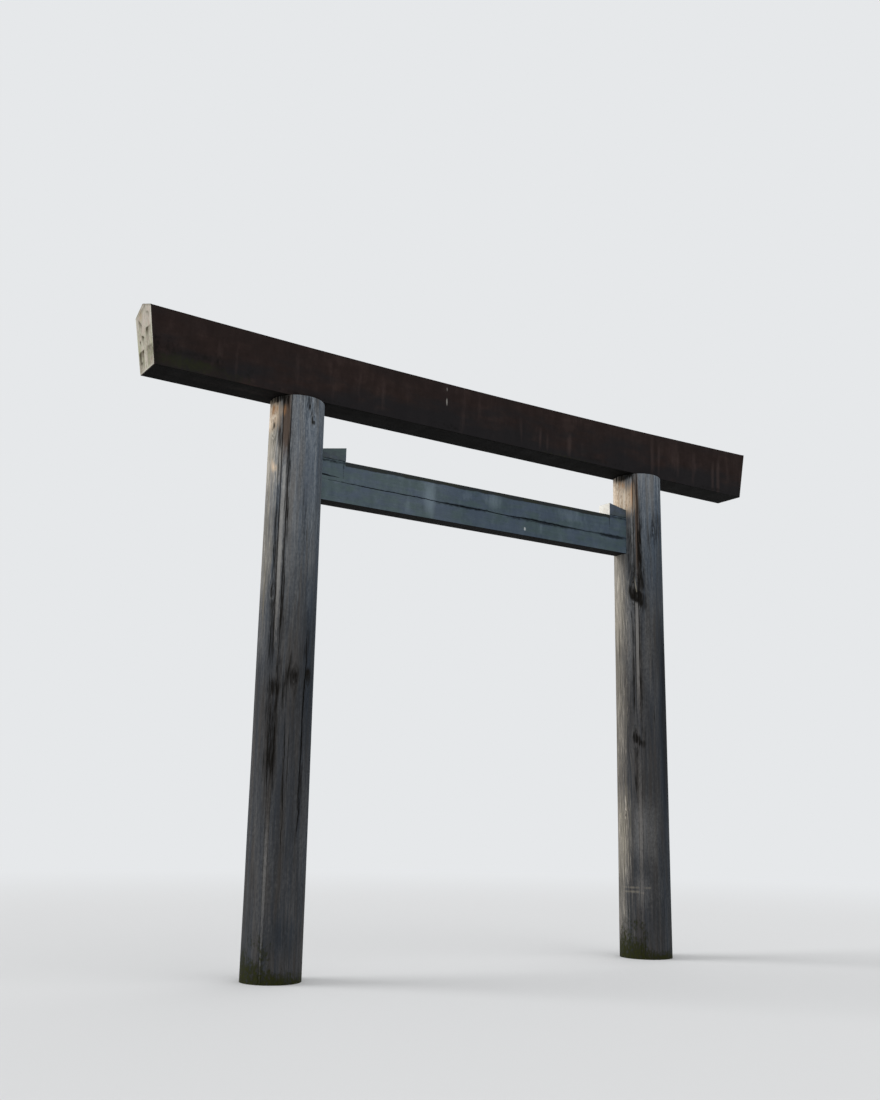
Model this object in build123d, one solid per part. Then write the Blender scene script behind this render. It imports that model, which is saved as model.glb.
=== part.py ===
from build123d import *
import math
import os

# A plain timber torii gate: two round posts, a five-sided top lintel, a tie beam held by two
# wedges, and a filler strip in the drying kerf of each post.
# Millimetres. The origin is the centre of the left post's foot, +X runs to the right post,
# -Y is the front and +Z is up.

# Posts: straight-tapered logs, from ground level to the underside of the lintel
post_spacing = 5522
lintel_underside = 6660
left_foot_diameter = 678
left_head_diameter = 656
right_foot_diameter = 700
right_head_diameter = 680
rim_bevel = 10

# Tenon on each post's head, in a mortise of the lintel
tenon_length = 300
tenon_width = 140
tenon_height = 250
tenon_side_clearance = 2
tenon_top_clearance = 10

# Top lintel: leaning sides, slanted ends, and two shallow roof slopes that rise to the ends
lintel_bottom_length = 9340
lintel_bottom_width = 455
lintel_end_slant = 8.3
lintel_side_lean = 2.3
lintel_side_middle = 633
lintel_side_end = 689
lintel_ridge_rise = 91
lintel_offset = 15

# Tie beam, housed in both posts, hung below the lintel by an open gap
beam_gap = 650
beam_height = 527
beam_thickness = 226
beam_arris = 8
beam_seat_depth = 220
beam_end_clearance = 5
beam_side_clearance = 2

# Wedges driven in above the tie beam, with their thick ends towards the middle of the gate
wedge_butt_height = 175
wedge_slope = 10.8
wedge_seat_depth = 180
left_wedge_outstand = 308
right_wedge_outstand = 286

# Drying kerfs, turned from the front towards the left, and the filler strips in them
kerf_depth = 80
kerf_side_clearance = 2
left_kerf_turn = 46
left_filler_head_width = 105
left_filler_foot_width = 30
right_kerf_turn = 48
right_filler_head_width = 58
right_filler_foot_width = 50

# Places that follow from the sizes above
beam_top = lintel_underside - beam_gap
beam_underside = beam_top - beam_height
ridge_middle = lintel_side_middle + lintel_ridge_rise
ridge_end = lintel_side_end + lintel_ridge_rise
end_run = math.tan(math.radians(lintel_end_slant))
side_run = math.tan(math.radians(lintel_side_lean))
wedge_run = math.tan(math.radians(wedge_slope))
shoulder_half_width = lintel_bottom_width / 2 + side_run * lintel_side_end
ridge_half_length = lintel_bottom_length / 2 + end_run * ridge_end


def post_radius(foot_diameter, head_diameter, height):
    """Radius of a post at a height above its foot."""
    return (foot_diameter + (head_diameter - foot_diameter) * height / lintel_underside) / 2


left_inner_radius = post_radius(left_foot_diameter, left_head_diameter, beam_top)
right_inner_radius = post_radius(right_foot_diameter, right_head_diameter, beam_top)


def post_log(foot_diameter, head_diameter):
    """The whole log with a small bevel round its head, its axis at X = Y = 0."""
    bevel_radius = post_radius(foot_diameter, head_diameter, lintel_underside - rim_bevel)
    outline = Polyline(
        (0, 0),
        (foot_diameter / 2, 0),
        (bevel_radius, lintel_underside - rim_bevel),
        (head_diameter / 2 - rim_bevel, lintel_underside),
        (0, lintel_underside),
        close=True,
    )
    return revolve(Plane.XZ * make_face(outline), Axis.Z)


def kerf_prism(foot_width, head_width, head_diameter, turn):
    """An upright prism from the kerf's bottom to well outside the log, wider at its head."""
    inner_radius = head_diameter / 2 - kerf_depth
    outline = Polyline(
        (-foot_width / 2, 0),
        (foot_width / 2, 0),
        (head_width / 2, lintel_underside),
        (-head_width / 2, lintel_underside),
        close=True,
    )
    face = Plane.YZ.offset(inner_radius) * make_face(outline)
    return Rot(0, 0, -90 - turn) * extrude(face, amount=head_diameter)


def wedge_height_at(reach, butt_reach):
    """Height of a wedge above the beam at a distance from the post's axis."""
    return wedge_butt_height - wedge_run * (butt_reach - reach)


def upright_slab(points, thickness):
    """A closed outline in X and Z, made a slab centred on Y = 0."""
    return extrude(Plane.XZ * make_face(Polyline(*points, close=True)), amount=thickness / 2, both=True)


def housing(inner_radius, butt_reach):
    """Mortise for the beam's end and the wedge over it, opening towards +X."""
    deep = inner_radius - beam_seat_depth - beam_end_clearance
    points = [
        (deep, beam_underside),
        (butt_reach, beam_underside),
        (butt_reach, beam_top + wedge_height_at(butt_reach, butt_reach)),
        (deep, beam_top + wedge_height_at(deep, butt_reach)),
    ]
    return upright_slab(points, beam_thickness + 2 * beam_side_clearance)


def wedge(inner_radius, outstand):
    """A wedge on the beam, thick end at +X, from inside the post to its butt."""
    tip = inner_radius - wedge_seat_depth
    butt = inner_radius + outstand
    points = [
        (tip, beam_top),
        (butt, beam_top),
        (butt, beam_top + wedge_height_at(butt, butt)),
        (tip, beam_top + wedge_height_at(tip, butt)),
    ]
    return upright_slab(points, beam_thickness)


def head_block(length, width, height):
    """A block standing on the post's head, for the tenon or for the mortise round it."""
    return Pos(0, 0, lintel_underside) * Box(
        length, width, height, align=(Align.CENTER, Align.CENTER, Align.MIN)
    )


def post_and_filler(foot_diameter, head_diameter, turn, foot_width, head_width, pocket):
    """One post with its tenon, kerf and housing, and the filler strip of its kerf."""
    log = post_log(foot_diameter, head_diameter)
    slot = kerf_prism(
        foot_width + 2 * kerf_side_clearance,
        head_width + 2 * kerf_side_clearance,
        head_diameter,
        turn,
    )
    filler = log & kerf_prism(foot_width, head_width, head_diameter, turn)
    post = log + head_block(tenon_length, tenon_width, tenon_height) - slot - pocket
    return post, filler


def top_lintel():
    """The five-sided lintel, over the middle of the gate at X = 0 and with its underside at Z = 0."""
    half_bottom = lintel_bottom_length / 2
    half_width = lintel_bottom_width / 2
    ends = [
        (-half_bottom, 0),
        (half_bottom, 0),
        (half_bottom + end_run * ridge_end, ridge_end),
        (-half_bottom - end_run * ridge_end, ridge_end),
    ]
    blank_width = 4 * shoulder_half_width
    body = upright_slab(ends, blank_width)
    sides = Polyline(
        (-half_width, 0),
        (half_width, 0),
        (half_width + side_run * ridge_end, ridge_end),
        (-half_width - side_run * ridge_end, ridge_end),
        close=True,
    )
    body = body & extrude(Plane.YZ * make_face(sides), amount=ridge_half_length, both=True)

    # Each roof slope is the ridge's arc carried sideways and downwards from the ridge
    ridge = ThreePointArc(
        (-ridge_half_length, ridge_end), (0, ridge_middle), (ridge_half_length, ridge_end)
    )
    under = Polyline(
        (-ridge_half_length, ridge_end),
        (-ridge_half_length, -ridge_end),
        (ridge_half_length, -ridge_end),
        (ridge_half_length, ridge_end),
    )
    below_ridge = Plane.XZ * make_face(ridge + under)
    for side in (-1, 1):
        slope = Vector(0, shoulder_half_width, side * lintel_ridge_rise)
        body = body & extrude(below_ridge, amount=blank_width, dir=slope, both=True)
    return body


left_pocket = housing(left_inner_radius, left_inner_radius + left_wedge_outstand)
right_pocket = Rot(0, 0, 180) * housing(right_inner_radius, right_inner_radius + right_wedge_outstand)

left_post, left_filler = post_and_filler(
    left_foot_diameter,
    left_head_diameter,
    left_kerf_turn,
    left_filler_foot_width,
    left_filler_head_width,
    left_pocket,
)
right_post, right_filler = post_and_filler(
    right_foot_diameter,
    right_head_diameter,
    right_kerf_turn,
    right_filler_foot_width,
    right_filler_head_width,
    right_pocket,
)
at_right_post = Pos(post_spacing, 0, 0)

lintel = Pos(post_spacing / 2 + lintel_offset, 0, lintel_underside) * top_lintel()
tenon_mortise = head_block(
    tenon_length + 2 * tenon_side_clearance,
    tenon_width + 2 * tenon_side_clearance,
    tenon_height + tenon_top_clearance,
)
lintel = lintel - tenon_mortise - at_right_post * tenon_mortise

beam_start = left_inner_radius - beam_seat_depth
beam_length = post_spacing - right_inner_radius + beam_seat_depth - beam_start
beam_section = chamfer(Rectangle(beam_thickness, beam_height).vertices(), beam_arris)
beam = extrude(
    Plane.YZ.offset(beam_start) * Pos(0, beam_underside + beam_height / 2) * beam_section,
    amount=beam_length,
)

nodes = {
    "left_post": left_post,
    "right_post": at_right_post * right_post,
    "left_kerf_filler": left_filler,
    "right_kerf_filler": at_right_post * right_filler,
    "tie_beam": beam,
    "left_wedge": wedge(left_inner_radius, left_wedge_outstand),
    "right_wedge": at_right_post * Rot(0, 0, 180) * wedge(right_inner_radius, right_wedge_outstand),
    "top_lintel": lintel,
}

os.makedirs("parts", exist_ok=True)
for name, piece in nodes.items():
    export_step(piece, f"parts/{name}.step")
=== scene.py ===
import bmesh
import bpy
import numpy as np
from math import cos, pi, radians, sin, tan
from mathutils import Matrix, Vector


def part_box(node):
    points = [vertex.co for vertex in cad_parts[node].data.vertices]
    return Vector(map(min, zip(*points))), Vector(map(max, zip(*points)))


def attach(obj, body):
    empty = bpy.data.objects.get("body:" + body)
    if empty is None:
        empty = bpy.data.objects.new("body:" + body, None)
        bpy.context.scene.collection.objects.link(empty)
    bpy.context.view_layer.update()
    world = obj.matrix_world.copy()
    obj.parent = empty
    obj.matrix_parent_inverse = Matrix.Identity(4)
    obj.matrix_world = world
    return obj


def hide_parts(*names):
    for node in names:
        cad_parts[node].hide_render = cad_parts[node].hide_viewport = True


# A weathered timber torii gate. Metres, from the centre of the left post's foot: +X to the right post,
# -Y the front, +Z up.
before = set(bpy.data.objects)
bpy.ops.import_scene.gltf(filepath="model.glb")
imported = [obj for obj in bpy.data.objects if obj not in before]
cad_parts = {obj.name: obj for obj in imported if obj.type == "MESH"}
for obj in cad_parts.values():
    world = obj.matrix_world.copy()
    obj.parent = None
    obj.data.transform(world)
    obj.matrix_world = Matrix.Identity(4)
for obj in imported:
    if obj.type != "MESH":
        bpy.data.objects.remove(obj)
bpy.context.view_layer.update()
mm = 0.001

print("stage: places read from the frame")
leftLow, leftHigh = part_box("left_post")
rightLow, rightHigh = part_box("right_post")
beamLow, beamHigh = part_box("tie_beam")
lintelLow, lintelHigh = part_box("top_lintel")
leftWedgeLow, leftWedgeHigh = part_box("left_wedge")
rightWedgeLow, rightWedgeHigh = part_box("right_wedge")
underside = lintelLow.z
leftAxis = (leftLow.x + leftHigh.x) / 2
rightAxis = (rightLow.x + rightHigh.x) / 2
lintelMiddle = (lintelLow.x + lintelHigh.x) / 2
beamHalf = (beamHigh.y - beamLow.y) / 2

# What the gate's joints have in common, in metres and degrees. Cutters reach out past the surface.
joinery = {
    "sideClearance": 2 * mm, "endClearance": 5 * mm, "kerfDepth": 80 * mm, "kerfClearance": 2 * mm,
    "tenonLength": 300 * mm, "tenonWidth": 140 * mm, "tenonTopClearance": 10 * mm,
    "wedgeSlope": 10.8, "rimRound": 11 * mm, "cutterReach": 30 * mm}


# Colour: each sRGB channel c becomes c/12.92, or ((c + 0.055)/1.055)^2.4 above 0.04045
def linear(code):
    c = np.array([int(code[i:i + 2], 16) for i in (1, 3, 5)]) / 255
    c = np.where(c > 0.04045, ((c + 0.055) / 1.055) ** 2.4, c / 12.92)
    return (float(c[0]), float(c[1]), float(c[2]), 1.0)


# Adds one shader node and gives back one of its outputs. Each input, by number or name, is a value or
# another node's output; stops fill a colour ramp.
def addNode(tree, kind, inputs, out=0, stops=(), **settings):
    made = tree.nodes.new("ShaderNode" + kind)
    for key, value in settings.items():
        setattr(made, key, value)
    for key, value in inputs.items():
        if isinstance(value, bpy.types.NodeSocket):
            tree.links.new(value, made.inputs[key])
        else:
            made.inputs[key].default_value = value
    for k, (place, colour) in enumerate(stops):
        while len(made.color_ramp.elements) <= k:
            made.color_ramp.elements.new(1.0)
        made.color_ramp.elements[k].position = place
        made.color_ramp.elements[k].color = colour
    return made.outputs[out] if len(made.outputs) else None


# An empty node tree for a material or the world
def emptyTree(owner):
    owner.use_nodes = True
    owner.node_tree.nodes.clear()
    return owner.node_tree


# A new object in the scene, round a mesh, a lamp or a camera
def addObject(name, data):
    made = bpy.data.objects.new(name, data)
    bpy.context.scene.collection.objects.link(made)
    return made


# Value noise from -1 to 1: a random number at each corner of a grid, blended across the cell by the
# smooth step 3t^2 - 2t^3. Cells along u repeat after "wrap" of them.
def softNoise(u, v, cellU, cellV, seed, wrap=256):
    table = np.random.default_rng(seed).random((256, 256)) * 2 - 1
    a, b = u / cellU, v / cellV
    low, row = np.floor(a).astype(int), np.floor(b).astype(int)
    fa, fb = a - low, b - row
    fa, fb = fa * fa * (3 - 2 * fa), fb * fb * (3 - 2 * fb)
    low, high = low % wrap, (low + 1) % wrap
    row, above = row % 256, (row + 1) % 256
    near = table[low, row] * (1 - fa) + table[high, row] * fa
    far = table[low, above] * (1 - fa) + table[high, above] * fa
    return near * (1 - fb) + far * fb


# A bell from 1 at no distance to 0 far away: exp(-|distance / width|^power)
def bell(distance, width, power=2):
    return np.exp(-np.abs(distance / width) ** power)


# A smooth step from 0 at "start" to 1 at "end", which may be the lower of the two
def smoothStep(x, start, end):
    t = np.clip((x - start) / (end - start), 0, 1)
    return t * t * (3 - 2 * t)


# Rows x columns x 3 points become a closed mesh: each row is a loop, quads join it to the next, and the
# first and last rows lie on one point each, which merging equal points closes
def closedMesh(name, rings):
    rows, columns = rings.shape[:2]
    here = np.arange(rows * columns).reshape(rows, columns)
    beside = np.roll(here, -1, axis=1)
    quads = np.stack([here[:-1], beside[:-1], beside[1:], here[1:]], axis=-1).reshape(-1, 4)
    mesh = bpy.data.meshes.new(name)
    mesh.from_pydata(rings.reshape(-1, 3).tolist(), [], quads.tolist())
    work = bmesh.new()
    work.from_mesh(mesh)
    bmesh.ops.remove_doubles(work, verts=work.verts, dist=0.02 * mm)
    bmesh.ops.dissolve_degenerate(work, edges=work.edges, dist=0.01 * mm)
    bmesh.ops.recalc_face_normals(work, faces=work.faces)
    work.to_mesh(mesh)
    work.free()
    return addObject(name, mesh)


# A rectangle's corners, in order
def rectangle(fromA, toA, fromB, toB):
    return [(fromA, fromB), (toA, fromB), (toA, toB), (fromA, toB)]


# Loops between a loop and its middle: middle + share x (loop - middle), for each share
def shrunk(loop, shares):
    middle = loop.mean(0)
    return middle + np.asarray(shares)[:, None, None] * (loop - middle)


# A mesh's points as rows of x, y, z
def readPoints(piece):
    points = np.empty(len(piece.data.vertices) * 3)
    piece.data.vertices.foreach_get("co", points)
    return points.reshape(-1, 3)


# Relief: each point moves along its normal by what reliefOf(points) gives, in metres
def roughen(piece, reliefOf):
    points = readPoints(piece)
    normals = np.empty(points.size)
    piece.data.vertex_normals.foreach_get("vector", normals)
    moved = points + normals.reshape(-1, 3) * reliefOf(points)[:, None]
    piece.data.vertices.foreach_set("co", moved.ravel())
    piece.data.update()


# Relief of a squared timber from waves of height, length, width and seed: the sum of height x noise,
# less the first height, so that the slow hollows sink below the surface
def planedRelief(points, waves):
    x, y, z = points.T
    total = -waves[0][0]
    for height, long, wide, seed in waves:
        total = total + height * softNoise(x, y + z, long, wide, seed)
    return total


# Exact cuts, applied one after another; each cutter is thrown away afterwards
def cutAway(piece, cutters):
    for cutter in cutters:
        cut = piece.modifiers.new("cut", "BOOLEAN")
        cut.operation = "DIFFERENCE"
        cut.solver = "EXACT"
        cut.object = cutter
        graph = bpy.context.evaluated_depsgraph_get()
        fresh = bpy.data.meshes.new_from_object(piece.evaluated_get(graph))
        piece.modifiers.clear()
        old = piece.data
        piece.data = fresh
        bpy.data.meshes.remove(old)
        bpy.data.objects.remove(cutter)
    piece.data.name = piece.name


# A block between two outlines with the same number of points, as a cutter
def prism(nearOutline, farOutline):
    near, far = np.array(nearOutline, float), np.array(farOutline, float)
    first = np.tile(near.mean(0), (len(near), 1))
    last = np.tile(far.mean(0), (len(far), 1))
    return closedMesh("cutter", np.stack([first, near, far, last]))


# A drying check's cutter: a V section carried along a path on the surface. Its width and depth follow
# sin(pi t)^0.6, so that the check opens and closes
def checkBlade(path, across, outward, width, depth, lift=25 * mm):
    share = np.linspace(0, 1, len(path))[:, None]
    swell = np.clip(np.sin(pi * share), 0, 1) ** 0.6
    deep = depth * swell + 0.5 * mm
    half = width / 2 * swell * (lift + deep) / deep
    body = np.stack([path + outward * lift - across * half, path + outward * lift + across * half,
                     path - outward * deep], axis=1)
    return closedMesh("cutter", np.concatenate([shrunk(body[0], [0]), body, shrunk(body[-1], [0])]))


# Float attributes, one number from 0 to 1 per point, and the grain vector that the materials follow
def paint(piece, masks, grain):
    for key, values in masks.items():
        layer = piece.data.attributes.new(key, "FLOAT", "POINT")
        layer.data.foreach_set("value", np.clip(values, 0, 1).astype(np.float32))
    layer = piece.data.attributes.new("grain", "FLOAT_VECTOR", "POINT")
    layer.data.foreach_set("vector", grain.astype(np.float32).ravel())


# The largest of soft spots, each strength x exp(-|du/halfWide|^3 - |dv/halfHigh|^3)
def spotsAt(distanceTo, v, spots):
    total = np.zeros(len(v))
    for u0, v0, halfWide, halfHigh, strength in spots:
        spot = strength * bell(distanceTo(u0), halfWide, 3) * bell(v - v0, halfHigh, 3)
        total = np.maximum(total, spot)
    return total


# Ends the making of a piece: materials, smooth shading with sharp arrises, its body, and the part it
# replaces hidden. Faces whose normal lies within 45 degrees of the x axis take the end material, where
# there is one
def finishPiece(piece, node, faceMaterial, endMaterial=None):
    mesh = piece.data
    mesh.materials.clear()
    mesh.materials.append(faceMaterial)
    if endMaterial:
        mesh.materials.append(endMaterial)
        normals = np.empty(len(mesh.polygons) * 3)
        mesh.polygons.foreach_get("normal", normals)
        mesh.polygons.foreach_set("material_index", (np.abs(normals[::3]) > 0.7).astype(np.int32))
    mesh.polygons.foreach_set("use_smooth", np.ones(len(mesh.polygons), bool))
    mesh.set_sharp_from_angle(angle=radians(40))
    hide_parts(node)
    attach(piece, "root")
    print("made", piece.name, "with", len(mesh.polygons), "faces")


print("stage: materials")


# What all the timbers have in common. Cellulose has an IOR near 1.53, and open dry grain is matt, so
# that little light comes back as gloss.
timber = {
    "ior": 1.53, "specular": 0.05, "roughDark": 0.95, "roughPale": 0.75, "bumpDepth": 3 * mm,
    "noiseRoughness": 0.6, "maskEdge": 0.15}


# Timber out of doors. Noise stretched along the grain gives each fibre's tone, and layers lie over it in
# turn. A layer has a source (a pattern or a painted mask), the source's values where it starts and is
# full, its share there and its shade. Its options: "rag", a pattern that breaks up its edge, and by how
# much; "line", only where the source crosses its middle value; "within", a pattern that it keeps to;
# "how" it is blended; how far it may "sink".
# Each pattern's place in its dictionary shifts its noise, so the order counts.
def weatheredTimber(name, look):
    material = bpy.data.materials.new(name)
    tree = emptyTree(material)
    place = addNode(tree, "Attribute", {}, "Vector", attribute_name="grain")
    pattern = {}
    for shift, (key, (size, detail)) in enumerate(look["patterns"].items()):
        apart = (3.7 * shift, 1.9 * shift, 5.3 * shift)
        scaled = addNode(tree, "Mapping", {"Vector": place, "Location": apart,
                                           "Scale": [1 / s for s in size]})
        pattern[key] = addNode(tree, "TexNoise", {"Vector": scaled, "Scale": 1.0, "Detail": detail,
                                                  "Roughness": timber["noiseRoughness"]})
    tone = 0.0
    for key, weight in look["tone"].items():
        tone = addNode(tree, "Math", {0: pattern[key], 1: weight, 2: tone}, operation="MULTIPLY_ADD")
    places = (0.5 - look["spread"], 0.5, 0.5 + look["spread"])
    colours = [linear(code) for code in look["colours"]]
    colour = addNode(tree, "ValToRGB", {"Fac": tone}, stops=list(zip(places, colours)))
    height = addNode(tree, "Math", {0: tone, 1: look["relief"]}, operation="MULTIPLY")
    for sourceKey, start, full, share, shade, *more in look["layers"]:
        options = more[0] if more else {}
        source = pattern.get(sourceKey)
        if source is None:
            source = addNode(tree, "Attribute", {}, "Fac", attribute_name=sourceKey)
        if "line" in options:
            centred = addNode(tree, "Math", {0: source, 1: 0.5}, operation="SUBTRACT")
            source = addNode(tree, "Math", {0: centred}, operation="ABSOLUTE")
        if "rag" in options:
            # nothing shows where the mask is empty
            share = addNode(tree, "MapRange", {"Value": source, "From Max": timber["maskEdge"],
                                               "To Max": share})
            ragKey, ragShare = options["rag"]
            centred = addNode(tree, "Math", {0: pattern[ragKey], 1: 0.5}, operation="SUBTRACT")
            source = addNode(tree, "Math", {0: centred, 1: ragShare, 2: source},
                             operation="MULTIPLY_ADD")
        factor = addNode(tree, "MapRange", {"Value": source, "From Min": start, "From Max": full,
                                            "To Max": share})
        if "within" in options:
            withinKey, edge, inside = options["within"]
            room = addNode(tree, "MapRange", {"Value": pattern[withinKey], "From Min": edge,
                                              "From Max": inside})
            factor = addNode(tree, "Math", {0: factor, 1: room}, operation="MULTIPLY")
        colour = addNode(tree, "Mix", {0: factor, 6: colour, 7: linear(shade)}, 2,
                         data_type="RGBA", blend_type=options.get("how", "MIX"))
        if "sink" in options:
            sunk = {0: factor, 1: -options["sink"], 2: height}
            height = addNode(tree, "Math", sunk, operation="MULTIPLY_ADD")
    bump = addNode(tree, "Bump", {"Strength": look["bump"], "Distance": timber["bumpDepth"],
                                  "Height": height})
    rough = addNode(tree, "MapRange", {"Value": tone, "From Min": places[0], "From Max": places[2],
                                       "To Min": timber["roughDark"], "To Max": timber["roughPale"]})
    shader = addNode(tree, "BsdfPrincipled", {"Base Color": colour, "Roughness": rough, "Normal": bump,
                                              "IOR": timber["ior"],
                                              "Specular IOR Level": timber["specular"]})
    addNode(tree, "OutputMaterial", {"Surface": shader})
    return material


# Peeled log, planed by hand: silver grey where rain and sun have bleached it, with long fine fibres.
# Cypress fibres are under 1 mm; they are drawn about 6 mm wide, so that they show from 13 m away.
postLook = {
    "patterns": {"fibre": ((6 * mm, 6 * mm, 0.3), 4.0), "streak": ((30 * mm, 30 * mm, 0.9), 3.0),
                 "band": ((95 * mm, 95 * mm, 2.2), 3.0), "drift": ((0.2, 0.2, 0.9), 3.0),
                 "rag": ((16 * mm, 16 * mm, 0.26), 5.0), "hair": ((18 * mm, 18 * mm, 0.8), 3.0),
                 "mottle": ((24 * mm, 24 * mm, 40 * mm), 4.0),
                 "fleck": ((16 * mm, 16 * mm, 60 * mm), 4.0), "tint": ((0.06, 0.06, 1.1), 2.0)},
    "tone": {"fibre": 0.27, "streak": 0.23, "band": 0.2, "mottle": 0.12, "fleck": 0.18}, "spread": 0.06,
    "colours": ["#4c5259", "#70777e", "#999da0"], "relief": 1.0, "bump": 0.5,
    "layers": [
        # painted shade, darker towards the foot
        ("footShade", 0, 1, 0.45, "#74777a"),
        ("drift", 0.42, 0.66, 0.4, "#707276"),
        ("tint", 0.5, 0.66, 0.45, "#75706a"),
        ("tint", 0.5, 0.34, 0.38, "#5d6a7a"),
        ("fleck", 0.58, 0.7, 0.45, "#44433e", {"within": ("drift", 0.42, 0.6)}),
        ("pale", 0.15, 0.95, 0.85, "#b2b2b0", {"rag": ("fleck", 1.4)}),
        ("pale", 1.2, 1.6, 0.5, "#cbcbc8", {"rag": ("fleck", 3.0)}),
        ("footShade", 0, 1, 1.0, "#95918f", {"how": "MULTIPLY"}),
        # paler patches; low on the left post's right side they are painted skylight
        ("lightened", 0, 1, 0.9, "#9d9c9a", {"rag": ("mottle", 0.35)}),
        ("shaded", 0, 0.6, 0.9, "#c0cfde", {"how": "MULTIPLY"}),
        ("shaded", 0.5, 1, 0.9, "#a9adb2", {"how": "MULTIPLY"}),
        # painted sunlight on the left sides, pale and warm, with dark and bright streaks in it
        ("sunlitSide", 0.05, 1, 0.9, "#a9a194", {"rag": ("streak", 0.6)}),
        ("sunlitSide", 0.5, 1.05, 0.7, "#545146", {"rag": ("streak", 5.5)}),
        ("sunlitSide", 0.6, 1.3, 0.65, "#ddd4c5", {"rag": ("fibre", 5.5)}),
        ("hair", 0.014, 0.0, 0.7, "#2b2926", {"line": 1, "within": ("drift", 0.44, 0.54), "sink": 0.5}),
        ("warm", 0.15, 0.8, 0.85, "#58483c", {"rag": ("rag", 0.9)}),
        # tan: painted sunlight, cream patches at the tops of the left sides and small glints
        ("tan", 0.1, 0.9, 0.95, "#d8c0a4", {"rag": ("rag", 1.2)}),
        ("tan", 0.6, 1.1, 0.8, "#f0e3d0", {"rag": ("streak", 2.4)}),
        ("tan", 0.9, 1.4, 0.6, "#86664a", {"rag": ("fleck", 4.0)}),
        # painted sunlight: an orange glow along the edge of the lintel's shadow, and a glint
        ("sunGlow", 0.3, 1.1, 0.85, "#b88250", {"rag": ("streak", 3.5)}),
        # real stains and knots, and the lintel's shadow across the posts' tops, which is painted shadow
        ("stainAndShade", 0.16, 0.95, 0.98, "#151310", {"rag": ("rag", 2.9)}),
        ("scar", 0.1, 0.9, 0.7, "#a49c8b", {"rag": ("rag", 1.0)}),
        ("moss", 0.3, 1.0, 0.95, "#15160a", {"rag": ("mottle", 2.0)}),
        ("moss", 0.5, 1.3, 0.4, "#41451e", {"rag": ("mottle", 2.6)}),
        ("seam", 0.2, 0.04, 0.9, "#181614"),
        # faces cut below the surface, near black: painted shade
        ("sunk", 0, 1, 1.0, "#12110f")]}
# Straight-grained strip set into the kerf, a shade paler than the log
fillerLook = dict(postLook, colours=["#53585c", "#787b7d", "#a0a1a1"])
# Squared lintel, never reached by the sun on this side: red-brown above and slate dark below, where the
# lower half takes painted shade; rain runs down it in fingers. Its dark tones are partly painted shade
# too.
lintelLook = {
    "patterns": {"fibre": ((0.5, 6 * mm, 6 * mm), 3.0), "runs": ((0.2, 0.8, 0.5), 4.0),
                 "fineRuns": ((55 * mm, 0.5, 0.35), 3.0), "drift": ((0.9, 0.4, 0.3), 5.0),
                 "mottle": ((0.14, 0.14, 0.1), 4.0), "rag": ((50 * mm, 50 * mm, 60 * mm), 4.0)},
    "tone": {"fibre": 0.1, "runs": 0.45, "fineRuns": 0.15, "mottle": 0.3}, "spread": 0.18,
    "colours": ["#211a18", "#2a211f", "#382d2a"], "relief": 0.6, "bump": 0.3,
    "layers": [
        ("drift", 0.42, 0.66, 0.5, "#231f1f"),
        # the darker lower half, more so to the right: painted shade
        ("lower", 0.3, 0.85, 0.8, "#1e1e20", {"rag": ("drift", 2.6)}),
        ("pale", 0.15, 0.9, 0.5, "#423735", {"rag": ("fineRuns", 1.4)}),
        ("stainAndShade", 0.25, 0.9, 0.8, "#10100e", {"rag": ("rag", 1.8)}),
        ("moss", 0.25, 0.95, 0.75, "#26281a", {"rag": ("rag", 1.8)}),
        ("chalk", 0.2, 0.6, 0.8, "#9a9792"),
        # the underside near black: painted shade
        ("below", 0.2, 0.9, 1.0, "#0b0a09", {"rag": ("rag", 0.6)}),
        ("below", 1.1, 1.7, 0.35, "#35302c", {"rag": ("fibre", 3.0)})]}
# Planed plank facing the sky: blue-grey and smooth, with faint upright water marks
beamLook = {
    "patterns": {"fibre": ((0.6, 6 * mm, 6 * mm), 3.0), "streak": ((1.6, 40 * mm, 40 * mm), 3.0),
                 "drift": ((0.5, 0.2, 0.2), 2.0), "runs": ((0.11, 0.6, 0.35), 4.0),
                 "mottle": ((60 * mm, 60 * mm, 60 * mm), 4.0), "rag": ((60 * mm, 30 * mm, 30 * mm), 4.0),
                 "hair": ((1.2, 20 * mm, 20 * mm), 2.0), "tint": ((0.25, 0.15, 0.1), 3.0)},
    "tone": {"fibre": 0.16, "streak": 0.22, "runs": 0.38, "mottle": 0.24}, "spread": 0.17,
    "colours": ["#414c53", "#505c64", "#626e76"], "relief": 0.8, "bump": 0.3,
    "layers": [
        ("drift", 0.42, 0.66, 0.4, "#4e595f"),
        ("tint", 0.5, 0.62, 0.5, "#505a6b"),
        ("tint", 0.5, 0.38, 0.5, "#505f5d"),
        ("shaded", 0, 1, 1.0, "#e6ebef", {"how": "MULTIPLY"}),
        ("hair", 0.006, 0.0, 0.4, "#353e44", {"line": 1, "within": ("drift", 0.5, 0.6), "sink": 0.3}),
        ("pale", 0.2, 0.9, 0.6, "#76848d", {"rag": ("runs", 1.0)}),
        # the dark band below each wedge is painted shade; the rest are real stains
        ("stainAndShade", 0.2, 0.85, 0.9, "#181e24", {"rag": ("rag", 1.4)}),
        ("moss", 0.2, 0.8, 0.9, "#27292a", {"rag": ("rag", 1.1)}),
        ("moss", 0.9, 1.4, 0.8, "#2d3022", {"rag": ("tint", 2.4)}),
        ("chalk", 0.2, 0.6, 0.85, "#b5babb"),
        # a dark band along the underside: painted shade
        ("below", 0.3, 0.7, 1.0, "#121111"),
        # faces cut below the surface, near black: painted shade
        ("sunk", 0, 1, 1.0, "#12161a")]}
wedgeLook = dict(beamLook, colours=["#373b40", "#43494d", "#535a5e"])
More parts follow.
